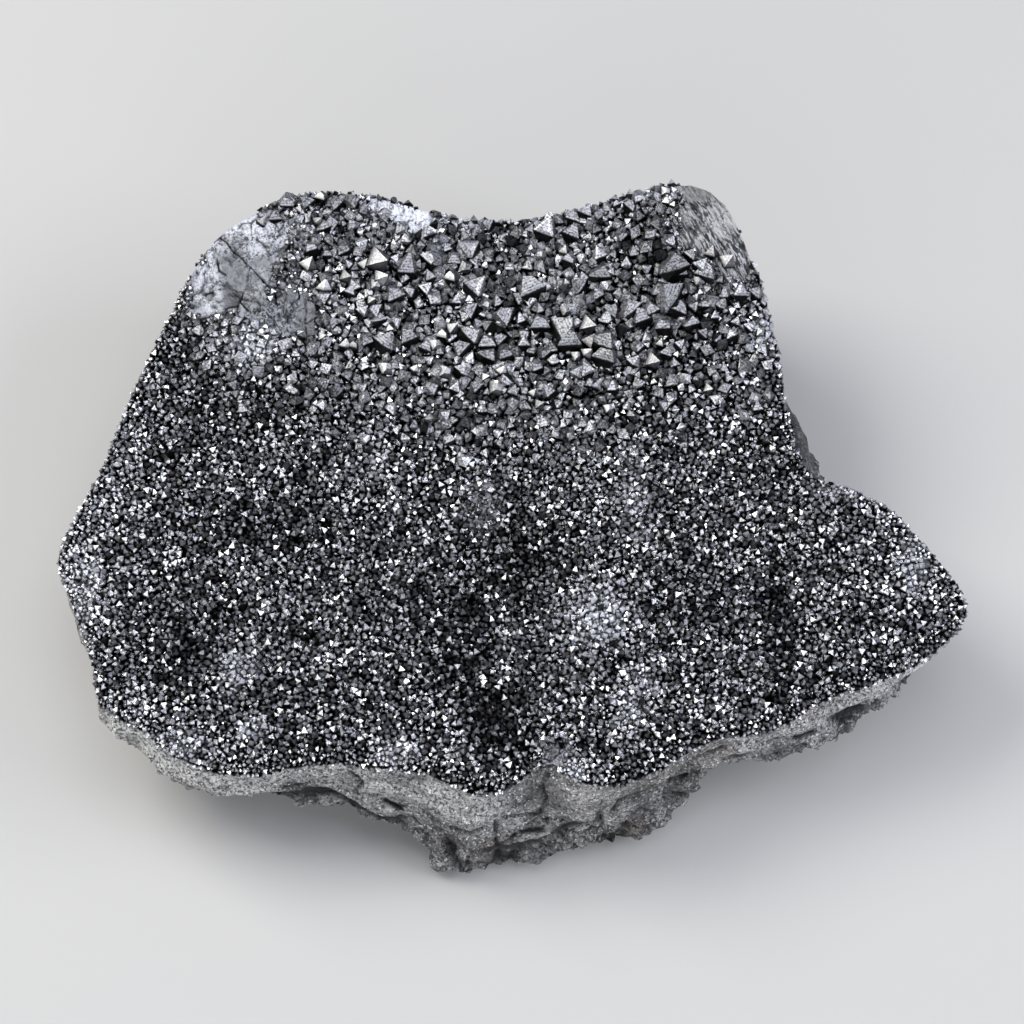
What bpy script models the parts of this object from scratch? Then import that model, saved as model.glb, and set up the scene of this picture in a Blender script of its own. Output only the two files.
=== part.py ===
"""Hausmannite specimen: a broken plate of grey manganese ore, lying on its back, with a crust of
black, four-sided pyramid crystals grown over its upper face.

Frame: +Z up, -Y is the front edge of the plate, and the origin is the bottom centre of its box.
Lengths are in millimetres until a mesh is made.
"""

import math
import random
from collections import namedtuple

import bmesh
import bpy
import numpy as np
from mathutils import Matrix, Vector, geometry, noise

MM = 0.001
Column = namedtuple("Column", "place out brow undercut")

# Driving dimensions
PLATE_TOP = 18.0  # height of the crystal face over most of the plate
BACK_RISE = 2.5  # how much higher that face is along the back edge
RIM_DROP = 0.9  # how far the face rounds down at the plate's edge
CRUST_EDGE = 1.3  # thickness of the crystal crust where it is seen at the edge
CRUST = 2.6  # its thickness further in
SEAM = 0.3  # gap kept between the crust and the ore
HOLLOW = 2.2  # deepest hollow in the underside, between the places it rests on

# The edge of the crystal face from above, anticlockwise from the front left corner. Each point
# is (x, y, out, brow, undercut). The grey ore juts out beyond the crystals by out, furthest at
# the height brow, and its foot lies inside that by undercut.
EDGE = [
    (-47.6, -25.1, 0.0, 13.0, 9.0),
    (-43.8, -27.3, 0.2, 11.5, 8.0),
    (-39.6, -30.9, 1.0, 10.5, 8.0),
    (-36.2, -32.7, 1.0, 10.5, 8.0),
    (-30.7, -34.0, 0.5, 11.0, 9.0),
    (-24.5, -32.7, 1.9, 10.0, 8.0),
    (-19.4, -32.4, 1.9, 8.5, 6.0),
    (-14.0, -33.0, 1.8, 6.0, 3.0),
    (-10.4, -33.4, 2.2, 4.2, 1.5),
    (-7.6, -34.6, 3.7, 1.8, 0.8),
    (-4.6, -36.0, 3.7, 1.4, 0.8),
    (-1.3, -35.6, 2.9, 1.4, 1.0),
    (1.1, -33.8, 4.2, 1.4, 1.0),
    (3.4, -32.2, 5.6, 1.4, 1.0),
    (5.8, -33.8, 3.7, 1.6, 1.0),
    (8.6, -35.3, 1.4, 1.8, 1.2),
    (11.9, -35.4, 0.6, 1.8, 1.2),
    (16.2, -33.8, 0.5, 2.6, 1.6),
    (19.8, -31.4, 0.9, 4.0, 2.2),
    (22.0, -30.0, 0.2, 9.2, 7.0),
    (24.9, -28.9, 0.2, 9.4, 8.0),
    (28.0, -28.4, 0.3, 9.0, 8.0),
    (33.1, -26.2, 1.0, 9.0, 8.0),
    (36.4, -24.2, 1.2, 8.5, 8.0),
    (41.8, -22.4, 0.5, 8.5, 8.0),
    (47.2, -19.5, 0.4, 10.2, 8.0),
    (50.0, -17.0, -0.6, 12.5, 9.0),
    (53.4, -13.6, 0.0, 13.0, 11.0),
    (53.6, -10.9, 0.0, 12.5, 11.0),
    (51.8, -7.6, 0.0, 12.0, 10.0),
    (49.8, -4.8, 0.0, 11.0, 9.0),
    (45.9, 0.1, 0.3, 10.0, 7.0),
    (41.0, 3.4, 0.6, 9.0, 5.0),
    (37.0, 5.0, 3.0, 9.0, 5.0),
    (34.8, 8.0, 3.2, 9.0, 5.0),
    (33.8, 12.5, 2.4, 10.0, 5.0),
    (32.9, 16.0, 1.6, 10.0, 4.0),
    (32.2, 22.0, 0.3, 9.0, 4.0),
    (30.4, 28.5, 0.3, 8.0, 4.0),
    (28.2, 34.6, 0.3, 8.0, 4.0),
    (26.0, 39.2, 0.0, 9.0, 4.0),
    (22.6, 41.3, 0.2, 9.0, 4.0),
    (16.0, 41.0, 0.6, 9.0, 4.0),
    (10.5, 40.4, 0.8, 8.0, 4.0),
    (4.5, 40.2, 0.8, 8.0, 4.0),
    (-2.0, 39.6, 0.8, 8.0, 4.0),
    (-8.5, 39.6, 0.8, 8.0, 4.0),
    (-15.0, 40.2, 0.6, 8.0, 4.0),
    (-21.0, 41.2, 0.3, 9.0, 4.0),
    (-26.5, 40.9, 0.2, 9.0, 4.0),
    (-31.8, 38.0, 0.2, 9.0, 4.0),
    (-37.2, 34.4, 0.3, 9.0, 4.0),
    (-41.0, 27.6, 0.4, 9.0, 5.0),
    (-43.4, 23.0, 0.3, 9.0, 6.0),
    (-46.6, 14.8, 0.3, 9.0, 7.0),
    (-49.2, 6.5, 0.3, 9.0, 8.0),
    (-51.8, 0.4, 0.3, 10.0, 9.0),
    (-53.7, -6.0, 0.2, 11.0, 10.0),
    (-51.8, -11.2, 0.2, 12.0, 10.0),
    (-49.0, -18.6, 0.0, 12.5, 10.0),
]
# Side of the ore from the brow up to the crystals: (share of the height, share of out). The dip
# at 0.44 is the crack under the compact band.
BAND_PROFILE = [(0.0, 1.0), (0.18, 0.97), (0.34, 0.8), (0.44, 0.5), (0.5, 0.62), (0.72, 0.45), (0.9, 0.2)]
COLUMNS = 112  # points round the edge in every ring of the meshes

# Rises and falls of the crystal face: (start x, y), (end x, y), reach, height
SWELLS = {
    "left shoulder": ((-30.0, 39.0), (-20.0, 39.0), 14.0, 5.6),
    "right shoulder": ((20.0, 41.0), (23.0, 35.0), 13.0, 7.0),
    "middle ridge": ((15.0, 3.0), (7.0, -31.0), 5.0, 1.7),
    "pale knoll": ((11.0, -11.0), (10.0, -13.0), 5.0, 0.8),
    "front trough": ((2.0, -8.0), (0.0, -34.0), 4.5, -1.7),
    "right trough": ((32.0, 4.0), (30.0, -26.0), 4.0, -1.7),
    "left knoll": ((-33.0, -20.0), (-31.0, -21.0), 6.0, 1.2),
    "bowl": ((-14.0, -4.0), (-6.0, -6.0), 22.0, -1.6),
    "right tip": ((54.0, -14.0), (52.0, -13.0), 8.0, -1.2),
}

# Lumps and hollows of the ore: (place), reach, (push)
LUMPS = {
    "front knob": ((-5.5, -39.5, 4.5), 6.5, (-0.4, -0.6, 0.0)),
    "groove beside the knob": ((-0.9, -39.0, 5.0), 3.5, (0.0, 1.4, 0.0)),
    "hollow under the band": ((19.0, -32.0, 9.0), 4.0, (-0.6, 1.6, 0.0)),
    "rear lump": ((-14.0, 41.0, 8.0), 10.0, (0.0, 1.2, 0.0)),
    "rear hollow": ((4.0, 40.0, 10.0), 9.0, (0.0, -2.0, 0.0)),
    "right rear lump": ((34.0, 12.0, 8.0), 8.0, (1.0, 0.0, 0.0)),
}

# Places on the underside that touch the surface it lies on: (x, y), reach
RESTS = [
    ((-2.0, -31.0), 8.0),
    ((12.0, -27.0), 7.0),
    ((0.0, 0.0), 9.0),
    ((-31.0, 14.0), 9.0),
    ((-32.0, -12.0), 7.0),
    ((22.0, 27.0), 8.0),
    ((28.0, -8.0), 7.0),
]

# Large crystals of the upper band, seen one by one: (x, y, half width, turn in degrees)
LARGE_CRYSTALS = [
    (19.0, 25.0, 2.3, 20),
    (14.8, 22.8, 1.9, 35),
    (11.8, 18.9, 2.7, 5),
    (6.4, 20.4, 2.5, 50),
    (-0.8, 23.4, 1.5, 0),
    (-3.1, 18.1, 1.7, 10),
    (3.4, 21.9, 1.6, 30),
    (4.0, 17.2, 1.6, 5),
    (3.1, 15.3, 1.4, 40),
    (17.2, 16.6, 1.4, 5),
    (9.1, 15.1, 1.3, 55),
    (-7.5, 28.0, 1.5, 25),
    (-4.6, 27.3, 1.6, 45),
    (-11.6, 29.6, 2.0, 15),
    (23.3, 29.9, 1.8, 60),
    (2.5, 27.4, 2.0, 35),
    (10.5, 30.2, 1.9, 70),
    (7.5, 34.2, 1.6, 20),
    (3.7, 35.4, 1.8, 50),
    (7.4, 30.3, 1.5, 0),
    (19.2, 31.0, 2.1, 75),
    (18.7, 21.6, 1.8, 15),
    (-8.6, 19.9, 1.7, 40),
    (0.4, 18.7, 1.5, 65),
    (15.2, 18.2, 1.5, 80),
    (-12.4, 20.8, 1.4, 30),
    (-16.4, 30.3, 2.0, 10),
    (-12.8, 26.0, 2.1, 55),
    (-14.0, 33.8, 1.8, 35),
    (-20.5, 29.0, 1.4, 0),
    (-22.8, 27.6, 1.5, 50),
    (-24.0, 30.7, 1.6, 30),
    (-24.2, 33.8, 1.8, 5),
    (-18.2, 24.1, 1.5, 60),
    (-16.2, 23.6, 1.5, 20),
    (-17.5, 20.8, 1.4, 45),
    (-14.9, 20.2, 1.4, 75),
    (-19.4, 19.8, 1.2, 5),
    (13.0, 34.5, 1.9, 25),
    (17.8, 36.0, 2.0, 55),
    (-19.0, 36.8, 1.9, 15),
    (-8.0, 35.0, 1.8, 60),
    (-2.6, 33.0, 1.9, 10),
]

# Stretches of the crust with no crystals: (x, y), reach along x and y
BARE = {
    "broken patch": ((-32.0, 29.5), 7.5, 8.0),
    "broken rim": ((-13.0, 38.0), 4.0, 2.6),
    "bare flank": ((26.5, 36.0), 3.6, 7.0),
}

# Seeded crystals: least and most half width
BAND_SIZES = (1.2, 2.1)
FACE_SIZES = (1.3, 1.9)
BAND_START = 13.0  # the band of larger crystals lies behind this y
THROWS = 9000
CROWDING = 0.86  # how near crystals stand, as a share of their half widths added up
BETWEEN = 280  # small broken tips in the gaps between the crystals
STEEPNESS = 0.95  # height over half width of a crystal as it leans in the crust
SEED = 27


def swell(x, y, start, end, reach, height):
    """A soft ridge, knoll or trough along a line from start to end."""
    point, a, b = Vector((x, y)), Vector(start), Vector(end)
    along = max(0.0, min(1.0, (point - a).dot(b - a) / (b - a).length_squared))
    away = (point - a.lerp(b, along)).length / reach
    return height * math.exp(-away * away)


def crust_top(x, y):
    """Height of the crystal face above the surface that the plate lies on."""
    back = max(0.0, min(1.0, (y + 5.0) / 45.0))
    rise = BACK_RISE * back * back * (3 - 2 * back)
    return PLATE_TOP + rise + sum(swell(x, y, *shape) for shape in SWELLS.values())


def edge_columns():
    """EDGE as a smooth closed curve, read at COLUMNS evenly spaced places."""
    count = len(EDGE)
    dense = []
    for i in range(count):
        a, b, c, d = (np.array(EDGE[(i + k) % count]) for k in (-1, 0, 1, 2))
        for step in range(12):
            t = step / 12
            bend = (2 * a - 5 * b + 4 * c - d) * t**2 + (3 * b - a - 3 * c + d) * t**3
            dense.append((2 * b + (c - a) * t + bend) / 2)
    lengths = [0.0]
    for here, there in zip(dense, dense[1:] + dense[:1]):
        lengths.append(lengths[-1] + math.dist(here[:2], there[:2]))
    columns, i = [], 0
    for column in range(COLUMNS):
        wanted = lengths[-1] * column / COLUMNS
        while lengths[i + 1] < wanted:
            i += 1
        share = (wanted - lengths[i]) / (lengths[i + 1] - lengths[i])
        x, y, out, brow, undercut = dense[i] + (dense[(i + 1) % len(dense)] - dense[i]) * share
        columns.append(Column(Vector((x, y)), out, max(1.2, brow), undercut))
    return columns


def outline_of(columns, out=0.0):
    """The edge from above, moved out from the middle of the plate."""
    return [moved_out(column.place, out) for column in columns]


def moved_out(place, distance):
    """A place from above moved away from the middle of the plate, or in if distance is negative."""
    return place * (1 + distance / place.length)


def inside(place, outline):
    """True if a place lies inside a closed outline."""
    odd = False
    for a, b in zip(outline, outline[1:] + outline[:1]):
        if (a.y > place.y) != (b.y > place.y):
            if place.x < a.x + (b.x - a.x) * (place.y - a.y) / (b.y - a.y):
                odd = not odd
    return odd


def edge_distance(place, outline):
    """How far a place lies from a closed outline."""
    nearest = math.inf
    for a, b in zip(outline, outline[1:] + outline[:1]):
        along = max(0.0, min(1.0, (place - a).dot(b - a) / (b - a).length_squared))
        nearest = min(nearest, (place - a.lerp(b, along)).length)
    return nearest


def scattered(outline, spacing, seed):
    """Places inside an outline on a loose triangular grid."""
    rng = random.Random(seed)
    places = []
    for row in range(-12, 13):
        for step in range(-14, 15):
            x = (step + 0.5 * (row % 2)) * spacing + rng.uniform(-0.25, 0.25) * spacing
            y = row * spacing * 0.87 + rng.uniform(-0.25, 0.25) * spacing
            place = Vector((x, y))
            if inside(place, outline) and edge_distance(place, outline) > 0.45 * spacing:
                places.append(place)
    return places


def filled(outline, places, creases=()):
    """Triangles over an outline that use the places in it. Returns (places, triangles, sources),
    where a source is a place's number in outline + places, or none where creases cross."""
    flat = list(outline) + list(places)
    edge = [tuple(range(len(outline)))]
    found = geometry.delaunay_2d_cdt(flat, creases, edge, 1, 1e-5)
    return found[0], found[2], [source[0] if source else None for source in found[3]]


def seam_face(columns):
    """The face between ore and crust. The first COLUMNS points are its edge."""
    outline = outline_of(columns)
    places, triangles, _ = filled(outline, scattered(outline, 6.5, SEED))
    points = []
    for i, place in enumerate(places):
        if i < COLUMNS:
            height = crust_top(*place) - RIM_DROP - CRUST_EDGE
        else:
            height = crust_top(*place) - CRUST
        points.append(Vector((place.x, place.y, height)))
    return points, triangles


def underside_face(columns):
    """The underside: the places it rests on and the hollows between. Its edge comes first."""
    outline = [moved_out(c.place, c.out - c.undercut) for c in columns]
    places, triangles, _ = filled(outline, scattered(outline, 5.0, SEED + 2))
    return [Vector((place.x, place.y, rest_height(place))) for place in places], triangles


def rest_height(place):
    """Height of the underside over the surface that the plate lies on."""
    nearest = min((place - Vector(centre)).length / reach for centre, reach in RESTS)
    if nearest < 1:
        return 0.0
    rough = 1.0 + noise.noise(Vector((place.x / 5.0, place.y / 5.0, 4.0)))
    return min(HOLLOW, 0.3 + 6.0 * (nearest - 1)) * rough


def side_rings(columns):
    """The broken sides of the ore from just above the foot up to just below the crystals."""
    rings = []
    for share, depth in ((0.3, 0.75), (0.75, 0.3)):
        ring = []
        for column in columns:
            foot = rest_height(moved_out(column.place, column.out - column.undercut))
            place = moved_out(column.place, column.out - column.undercut * depth)
            ring.append(Vector((place.x, place.y, foot + (column.brow - foot) * share)))
        rings.append(ring)
    for share, out in BAND_PROFILE:
        ring = []
        for column in columns:
            place = moved_out(column.place, column.out * out)
            rim = crust_top(*column.place) - RIM_DROP - CRUST_EDGE
            ring.append(Vector((place.x, place.y, column.brow + (rim - column.brow) * share)))
        rings.append(ring)
    return rings


def push_lump(verts, place, reach, push):
    """Moves the vertices near a place, as a sculpting brush does."""
    for vert in verts:
        away = (vert.co - Vector(place)).length / reach
        if away < 1:
            vert.co += Vector(push) * (1 - away * away) ** 2


def roughen(verts):
    """Fractured relief on the broken sides: scoops, ledges and grain."""
    for shape in LUMPS.values():
        push_lump(verts, *shape)
    moves = {}
    for vert in verts:
        scoop = noise.voronoi(vert.co / 8.0)[0][0] - 0.45
        coarse = noise.fractal(vert.co / 6.0, 0.8, 2.0, 2)
        ledge = noise.noise(Vector((vert.co.x / 7.0, vert.co.y / 7.0, vert.co.z / 1.6)))
        moves[vert] = vert.normal * (1.4 * scoop + 0.9 * coarse + 0.7 * ledge)
    for vert, move in moves.items():
        vert.co += move
        vert.co.z = max(0.5, vert.co.z)


def is_bare(x, y, margin):
    """True on a stretch of crust with no crystals, taken larger by margin."""
    for (cx, cy), reach_x, reach_y in BARE.values():
        if ((x - cx) / (reach_x + margin)) ** 2 + ((y - cy) / (reach_y + margin)) ** 2 < 1:
            return True
    return False


def throw_crystals(outline):
    """Places for the crystals, each grown until it meets its neighbours: (x, y, half width, turn)."""
    rng = random.Random(SEED)
    placed = []

    def room_at(x, y):
        spans = (math.hypot(x - px, y - py) / CROWDING - half for px, py, half, _ in placed)
        return min(spans, default=9.0)

    for x, y, half, turn in LARGE_CRYSTALS:
        placed.append((x, y, max(0.8, min(half, room_at(x, y))), turn))
    for _ in range(THROWS):
        x, y = rng.uniform(-55, 55), rng.uniform(-40, 42)
        least, most = BAND_SIZES if y > BAND_START else FACE_SIZES
        half = rng.uniform(least, most)
        turn = rng.uniform(0, 90)
        room = room_at(x, y)
        if room < least or is_bare(x, y, least) or not inside(Vector((x, y)), outline):
            continue
        room = min(room, edge_distance(Vector((x, y)), outline) - 0.3)
        if room >= least:
            placed.append((x, y, min(half, room), turn))
    return placed


def crystal_face(outline):
    """The upper face of the crust: flat-sided pyramids and the small tips in their gaps.
    Returns points and triangles. The points of the outline come first."""
    rng = random.Random(SEED + 1)
    points = [Vector((p.x, p.y, crust_top(*p) - RIM_DROP * 0.6)) for p in outline]
    creases = []
    crystals = throw_crystals(outline)
    for x, y, half, turn in crystals:
        corner = len(points)
        for quarter in range(4):
            angle = math.radians(turn + 90 * quarter)
            px, py = x + half * math.cos(angle), y + half * math.sin(angle)
            points.append(Vector((px, py, crust_top(px, py) - rng.uniform(0.5, 0.9))))
        lean = half * rng.uniform(0.05, 0.45)
        way = rng.uniform(0, 2 * math.pi)
        tip_height = crust_top(x, y) - 0.6 + half * STEEPNESS * rng.uniform(0.8, 1.15)
        points.append(Vector((x + lean * math.cos(way), y + lean * math.sin(way), tip_height)))
        for quarter in range(4):
            creases.append((corner + quarter, corner + (quarter + 1) % 4))
            creases.append((corner + quarter, corner + 4))
    wanted = len(points) + BETWEEN
    while len(points) < wanted:
        place = Vector((rng.uniform(-55, 55), rng.uniform(-40, 42)))
        height = rng.uniform(-0.5, 0.25) if is_bare(*place, 0) else rng.uniform(-0.4, 0.6)
        clear = all(math.hypot(place.x - x, place.y - y) > 0.95 * half for x, y, half, _ in crystals)
        if clear and inside(place, outline) and edge_distance(place, outline) > 0.6:
            points.append(Vector((place.x, place.y, crust_top(*place) + height)))
    flat = [point.xy for point in points]
    places, triangles, sources = filled(flat[:COLUMNS], flat[COLUMNS:], creases)
    face = []
    for place, source in zip(places, sources):
        height = crust_top(*place) - 0.6 if source is None else points[source].z
        face.append(Vector((place.x, place.y, height)))
    return face, triangles


def add_face(bm, points, triangles, facing_up):
    """Adds a triangulated face and returns its vertices."""
    verts = [bm.verts.new(point) for point in points]
    for triangle in triangles:
        corners = [verts[i] for i in triangle]
        bm.faces.new(corners if facing_up else corners[::-1])
    return verts


def add_wall(bm, low, high):
    """Adds the band of faces between two rings of vertices."""
    for i in range(COLUMNS):
        j = (i + 1) % COLUMNS
        bm.faces.new((low[i], low[j], high[j], high[i]))


def finish(bm, name, colour, roughness, metallic):
    """Turns a bmesh in millimetres into a named object with its material."""
    bmesh.ops.scale(bm, vec=(MM, MM, MM), verts=bm.verts)
    bmesh.ops.triangulate(bm, faces=bm.faces)
    bmesh.ops.recalc_face_normals(bm, faces=bm.faces)
    mesh = bpy.data.meshes.new(name)
    bm.to_mesh(mesh)
    bm.free()
    material = bpy.data.materials.new(name)
    material.use_nodes = True
    shader = material.node_tree.nodes["Principled BSDF"]
    shader.inputs["Base Color"].default_value = (*colour, 1.0)
    shader.inputs["Roughness"].default_value = roughness
    shader.inputs["Metallic"].default_value = metallic
    mesh.materials.append(material)
    made = bpy.data.objects.new(name, mesh)
    bpy.context.scene.collection.objects.link(made)
    return made


def make_ore_matrix(columns):
    """The grey ore: compact band, broken sides, front lumps and the underside it rests on."""
    bm = bmesh.new()
    under = add_face(bm, *underside_face(columns), False)
    top = add_face(bm, *seam_face(columns), True)
    rings = [[bm.verts.new(point) for point in ring] for ring in side_rings(columns)]
    loops = [under[:COLUMNS]] + rings + [top[:COLUMNS]]
    for low, high in zip(loops, loops[1:]):
        add_wall(bm, low, high)
    bm.normal_update()
    roughen([vert for ring in rings for vert in ring])
    return finish(bm, "ore_matrix", (0.17, 0.175, 0.18), 0.6, 0.25)


def make_crystal_crust(columns):
    """The crust of intergrown crystals, one closed shell over the ore."""
    bm = bmesh.new()
    top = add_face(bm, *crystal_face(outline_of(columns, -0.4)), True)
    points, triangles = seam_face(columns)
    lifted = [point + Vector((0.0, 0.0, SEAM)) for point in points]
    under = add_face(bm, lifted, triangles, False)
    add_wall(bm, under[:COLUMNS], top[:COLUMNS])
    return finish(bm, "hausmannite_crust", (0.035, 0.036, 0.04), 0.25, 0.7)


def centre(pieces):
    """Moves the pieces together so that the origin is the bottom centre of their box."""
    corners = [vert.co for piece in pieces for vert in piece.data.vertices]
    low = Vector([min(corner[axis] for corner in corners) for axis in range(3)])
    high = Vector([max(corner[axis] for corner in corners) for axis in range(3)])
    middle = (low + high) / 2
    shift = Matrix.Translation((-middle.x, -middle.y, -low.z))
    for piece in pieces:
        piece.data.transform(shift)
    print("moved by", [round(-value / MM, 2) for value in (middle.x, middle.y, low.z)], "mm")


def main():
    for old in list(bpy.data.objects):
        bpy.data.objects.remove(old)
    columns = edge_columns()
    centre([make_ore_matrix(columns), make_crystal_crust(columns)])


main()
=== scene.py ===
# %% [markdown]
# # Black hausmannite crystals on grey manganese ore
# The real thing is a loose plate of ore, about 108 mm wide. Its upper face is a druse: a carpet of
# four-sided pyramid crystals, fine over most of it and coarse along the back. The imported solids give
# its size and its main shapes. This script puts the looks on them: broken rock, and every crystal.
# Lengths are in millimetres in the numbers here and in metres in Blender.

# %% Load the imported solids
import math

import bpy
import numpy as np
from mathutils import Matrix, Vector, noise
from mathutils.bvhtree import BVHTree


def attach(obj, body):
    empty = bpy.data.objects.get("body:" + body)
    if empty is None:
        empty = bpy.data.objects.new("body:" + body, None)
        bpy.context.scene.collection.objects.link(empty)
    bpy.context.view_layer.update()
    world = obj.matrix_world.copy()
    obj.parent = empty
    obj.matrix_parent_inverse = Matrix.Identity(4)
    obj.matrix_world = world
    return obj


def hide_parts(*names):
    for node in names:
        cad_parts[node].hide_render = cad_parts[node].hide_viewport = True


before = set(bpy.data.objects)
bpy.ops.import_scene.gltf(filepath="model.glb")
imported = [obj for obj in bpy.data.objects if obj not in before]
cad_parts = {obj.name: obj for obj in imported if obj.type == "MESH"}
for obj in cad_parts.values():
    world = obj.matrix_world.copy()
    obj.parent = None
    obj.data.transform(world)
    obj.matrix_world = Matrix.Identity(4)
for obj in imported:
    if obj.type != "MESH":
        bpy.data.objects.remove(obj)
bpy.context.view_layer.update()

MM = 0.001

# %% [markdown]
# ## Camera, light and floor
# A druse is nearly black, and what the eye sees is each facet's reflection of the lamps. So the
# lamps come first: large soft panels that some facets mirror, and a dim sky for the rest. A long
# lens from high in front gives the shape that a product photo of a flat stone has.

# %% Camera
SIGHT_ANGLE = math.radians(60)  # how far above the floor the camera looks from
LENS, SENSOR = 120.0, 36.0
PICTURE = 1024  # pixels across and down
VIEW_WIDTH = 123.5  # mm across the picture at the target
TARGET = Vector((0.2, 0.95, 14.0))
back = Vector((0.0, -math.cos(SIGHT_ANGLE), math.sin(SIGHT_ANGLE)))
up = Vector((0.0, math.sin(SIGHT_ANGLE), math.cos(SIGHT_ANGLE)))
eye = TARGET + back * (VIEW_WIDTH * LENS / SENSOR)

camera_data = bpy.data.cameras.new("camera")
camera_data.lens = LENS
camera_data.sensor_width = SENSOR
camera_data.clip_start = 0.01
camera = bpy.data.objects.new("camera", camera_data)
camera.location = eye * MM
camera.rotation_euler = back.to_track_quat("Z", "Y").to_euler()
bpy.context.scene.collection.objects.link(camera)
bpy.context.scene.camera = camera
print("camera at", [round(v) for v in eye], "mm")


# %% Soft panels and a dim sky
def linear(hex_colour):
    """A colour written in sRGB hex as the linear values that Blender takes, with alpha 1."""
    channels = [int(hex_colour[i : i + 2], 16) / 255 for i in (1, 3, 5)]
    return [*(c / 12.92 if c <= 0.04045 else ((c + 0.055) / 1.055) ** 2.4 for c in channels), 1.0]


def softbox(name, place, size, brightness, colour):
    """A panel lamp aimed at the middle of the plate. The brightness is what a mirror would show."""
    data = bpy.data.lights.new(name, "AREA")
    data.shape = "RECTANGLE"
    data.size, data.size_y = size[0] * MM, size[1] * MM
    data.energy = brightness * math.pi * data.size * data.size_y
    data.color = linear(colour)[:3]
    lamp = bpy.data.objects.new(name, data)
    lamp.location = Vector(place) * MM
    lamp.rotation_euler = (Vector(place) - Vector((0, 0, 10))).to_track_quat("Z", "Y").to_euler()
    bpy.context.scene.collection.objects.link(lamp)


KEY_PLACE = (-330, 160, 430)
TOP_PLACE = (60, 60, 720)
PANELS = [
    ("key_panel", KEY_PLACE, (340, 320), 10.6, "#fffdf6"),
    ("top_panel", TOP_PLACE, (560, 420), 3.2, "#f2f5ff"),
    ("side_panel", (430, -60, 300), (360, 240), 8.0, "#f4f6fd"),
    ("front_panel", (-60, -520, 190), (520, 300), 3.6, "#fafbfd"),
    ("low_left_panel", (-460, -260, 110), (360, 170), 6.0, "#fffefa"),
    ("low_right_panel", (440, -330, 110), (360, 170), 5.0, "#eef2ff"),
]
for panel in PANELS:
    softbox(*panel)
sky = bpy.data.worlds.new("studio")
sky.use_nodes = True
sky.node_tree.nodes["Background"].inputs["Color"].default_value = linear("#c6d0ea")
sky.node_tree.nodes["Background"].inputs["Strength"].default_value = 0.4
bpy.context.scene.world = sky
bpy.context.scene.view_settings.view_transform = "Standard"
print(len(PANELS), "panels and a sky")


# %% Floor
def deselect():
    """Clears the selection, because operators act on all that is selected."""
    for item in bpy.context.selected_objects:
        item.select_set(False)


def fill(node, inputs):
    """Sets a node's inputs to values, or links them. A node stands for its own first output."""
    for key, value in dict(inputs).items():
        if isinstance(value, bpy.types.Node):
            value = next(output for output in value.outputs if output.enabled)
        if isinstance(value, bpy.types.NodeSocket):
            node.id_data.links.new(value, node.inputs[key])
        else:
            node.inputs[key].default_value = value


def new_material(name):
    """A material, its shader, Object coordinates, and a function that adds nodes to it."""
    material = bpy.data.materials.new(name)
    material.use_nodes = True
    tree = material.node_tree

    def add(kind, inputs=(), **settings):
        """Adds a node with its settings, and fills its inputs with values or links."""
        node = tree.nodes.new("ShaderNode" + kind)
        for key, value in settings.items():
            setattr(node, key, value)
        fill(node, inputs)
        return node

    return material, tree.nodes["Principled BSDF"], add("TexCoord").outputs["Object"], add


deselect()
bpy.ops.mesh.primitive_plane_add(size=6.0, location=(0, 0, -0.0002))
floor = bpy.context.object
floor.name = "floor"
card, shader, place, add = new_material("matt_pale_studio_card")
fill(shader, {"Base Color": linear("#a09f9d"), "Roughness": 0.9})
floor.data.materials.append(card)
print("floor laid")

# %% [markdown]
# ## Grey manganese ore
# The rock under the crystals is massive ore that was broken with a hammer. A compact band runs under
# the crystals, and below it the fracture is lumpy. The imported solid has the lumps. A copy of it is
# cut finer in edit mode, and later each new point is pushed along its normal, which is what a
# sculptor's rock brush does and keeps the outline of the solid. The front is cut finest, because
# it is seen most.

# %% Copy a solid as a piece that can be worked on
def worked_copy(node, name):
    """A copy of a solid with its loose triangles joined up again."""
    deselect()
    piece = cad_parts[node].copy()
    piece.data = piece.data.copy()
    piece.name = piece.data.name = name
    piece.data.materials.clear()
    bpy.context.scene.collection.objects.link(piece)
    bpy.context.view_layer.objects.active = piece
    piece.select_set(True)
    bpy.ops.object.mode_set(mode="EDIT")
    bpy.ops.mesh.select_all(action="SELECT")
    bpy.ops.mesh.remove_doubles(threshold=0.00001)
    bpy.ops.mesh.select_all(action="DESELECT")
    bpy.ops.object.mode_set(mode="OBJECT")
    return piece


def rows(items, name):
    """A property of all points or faces as an array, with three numbers in a row for each."""
    flat = np.empty(len(items) * 3, np.float32)
    items.foreach_get(name, flat)
    return flat.reshape(-1, 3)


def set_points(piece, points):
    piece.data.vertices.foreach_set("co", (points * MM).astype(np.float32).ravel())
    piece.data.update()


def keep_values(mesh, values):
    """Keeps named numbers at a mesh's points, where its material can read them."""
    for label, numbers in values.items():
        layer = mesh.attributes.new(label, "FLOAT", "POINT")
        layer.data.foreach_set("value", numbers.astype(np.float32))


def subdivide_where(piece, wanted, cuts):
    """Cuts the faces finer that the test wants. It gets all centres in mm and all normals."""
    faces = piece.data.polygons
    faces.foreach_set("select", wanted(rows(faces, "center") / MM, rows(faces, "normal")))
    bpy.ops.object.mode_set(mode="EDIT")
    bpy.ops.mesh.subdivide(number_cuts=cuts)
    bpy.ops.mesh.select_all(action="DESELECT")
    bpy.ops.object.mode_set(mode="OBJECT")


FEET = 2.5  # mm above the floor, below which the underside is nearly flat
ore = worked_copy("ore_matrix", "ore_rock")


def on_side(centres, facings):
    """The broken sides, and the hollows of the underside."""
    return (np.abs(facings[:, 2]) < 0.75) | ((facings[:, 2] < 0) & (centres[:, 2] > FEET))


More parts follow.
